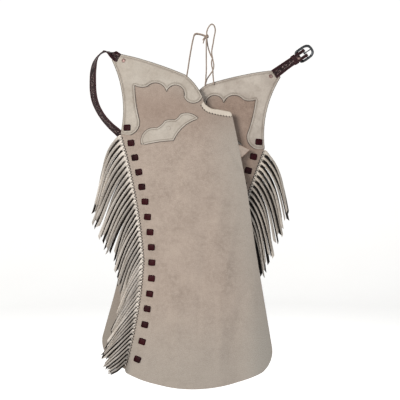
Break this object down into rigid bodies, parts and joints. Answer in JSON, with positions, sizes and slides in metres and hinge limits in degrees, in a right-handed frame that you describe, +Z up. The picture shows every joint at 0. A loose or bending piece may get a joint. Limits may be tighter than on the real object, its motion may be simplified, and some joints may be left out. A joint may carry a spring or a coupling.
{
  "type": "leather rodeo chaps with a fringe, hung by their tie laces",
  "caption": "Pair of tan suede leather chaps hung by their front tie laces, with cream scalloped yokes, burgundy lace blocks, long side fringe, a belt strap and an open buckle.",
  "frame": {"origin": "inner bearing side of the tie lace's loop, at its top, where the chaps hang from a hook", "axes": "+X across the front to the right as seen from the front, +Y from the front to the back, +Z up"},
  "size_m": [0.6828, 0.1815, 1.0905],
  "materials": {
    "tan_suede": "brushed tan suede with a soft nap",
    "cream_leather": "smooth cream leather, slightly creased",
    "pale_trim_leather": "smooth pale leather binding",
    "fringe_suede": "cut suede fringe, grain side and flesh side both showing",
    "burgundy_leather": "tooled dark burgundy leather, waxed",
    "lace_leather": "round grey-tan lace leather",
    "dark_chrome": "polished dark nickel",
    "copper": "polished copper rivet"
  },
  "bodies": {
    "chaps": {"belt_strap": "burgundy_leather", "buckle_rivet": "copper", "buckle_strap": "burgundy_leather", "far_block_01": "burgundy_leather", "far_block_02": "burgundy_leather", "far_block_03": "burgundy_leather", "far_block_04": "burgundy_leather", "far_block_05": "burgundy_leather", "far_block_06": "burgundy_leather", "far_block_07": "burgundy_leather", "far_block_08": "burgundy_leather", "far_block_09": "burgundy_leather", "far_block_10": "burgundy_leather", "far_block_11": "burgundy_leather", "far_block_12": "burgundy_leather", "far_block_13": "burgundy_leather", "far_block_14": "burgundy_leather", "far_block_15": "burgundy_leather", "far_block_16": "burgundy_leather", "far_crotch_trim": "pale_trim_leather", "far_fringe": "fringe_suede", "far_panel": "tan_suede", "far_pocket_facing": "cream_leather", "far_rivet": "copper", "far_thigh_tab": "tan_suede", "far_yoke": "cream_leather", "keeper": "burgundy_leather", "lace_far": "lace_leather", "lace_knot": "lace_leather", "lace_loop": "lace_leather", "lace_near": "lace_leather", "near_block_01": "burgundy_leather", "near_block_02": "burgundy_leather", "near_block_03": "burgundy_leather", "near_block_04": "burgundy_leather", "near_block_05": "burgundy_leather", "near_block_06": "burgundy_leather", "near_block_07": "burgundy_leather", "near_block_08": "burgundy_leather", "near_block_09": "burgundy_leather", "near_block_10": "burgundy_leather", "near_block_11": "burgundy_leather", "near_block_12": "burgundy_leather", "near_block_13": "burgundy_leather", "near_block_14": "burgundy_leather", "near_block_15": "burgundy_leather", "near_block_16": "burgundy_leather", "near_crotch_trim": "pale_trim_leather", "near_fringe": "fringe_suede", "near_panel": "tan_suede", "near_pocket_facing": "cream_leather", "near_rivet": "copper", "near_thigh_tab": "tan_suede", "near_yoke": "cream_leather"},
    "buckle": {"buckle_frame": "dark_chrome"},
    "buckle_prong": {"prong": "dark_chrome"}
  },
  "joints": [
    {"name": "buckle_turn", "type": "hinge", "parent": "chaps", "child": "buckle", "pos_m": [0.28319, 0.04822, -0.07795], "axis": [0.5588, 0.036, -0.8286], "range_deg": [0, 60]},
    {"name": "prong_turn", "type": "hinge", "parent": "buckle", "child": "buckle_prong", "pos_m": [0.28319, 0.04822, -0.07795], "axis": [0.5588, 0.036, -0.8286], "range_deg": [0, 70]}
  ]
}
